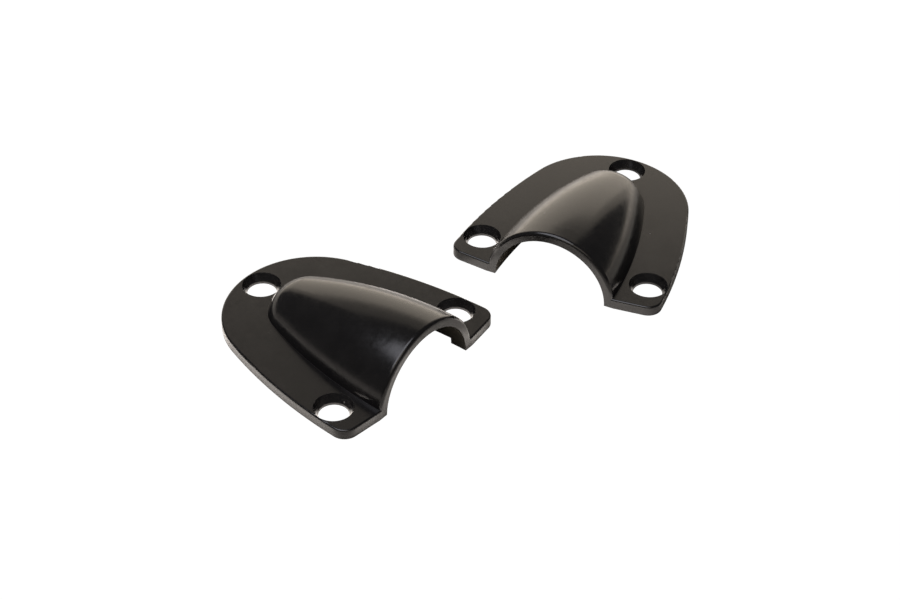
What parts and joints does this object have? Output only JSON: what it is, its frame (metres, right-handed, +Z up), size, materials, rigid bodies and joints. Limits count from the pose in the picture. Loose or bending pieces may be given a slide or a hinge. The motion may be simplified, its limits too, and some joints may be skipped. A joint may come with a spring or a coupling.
{
  "type": "clamshell vent covers",
  "caption": "Loose pair of plastic clamshell vent covers, each a flat screw-down flange with a half-dome hood that is open at one end.",
  "frame": {"origin": "midway between the left cover's two front screw holes, on its underside", "axes": "+Z up from the underside, +Y from the left cover's mouth to its back, +X towards the right cover"},
  "size_m": [0.1292, 0.0846, 0.0165],
  "materials": {
    "black_nylon": "black moulded nylon, satin, with a very fine moulded grain"
  },
  "bodies": {
    "left": {"left_cover": "black_nylon"},
    "right": {"right_cover": "black_nylon"}
  },
  "joints": [
    {"name": "right_cover_lift", "type": "slide", "parent": "left", "child": "right", "axis": [0, 0, 1], "range_m": [0, 0.06]}
  ]
}
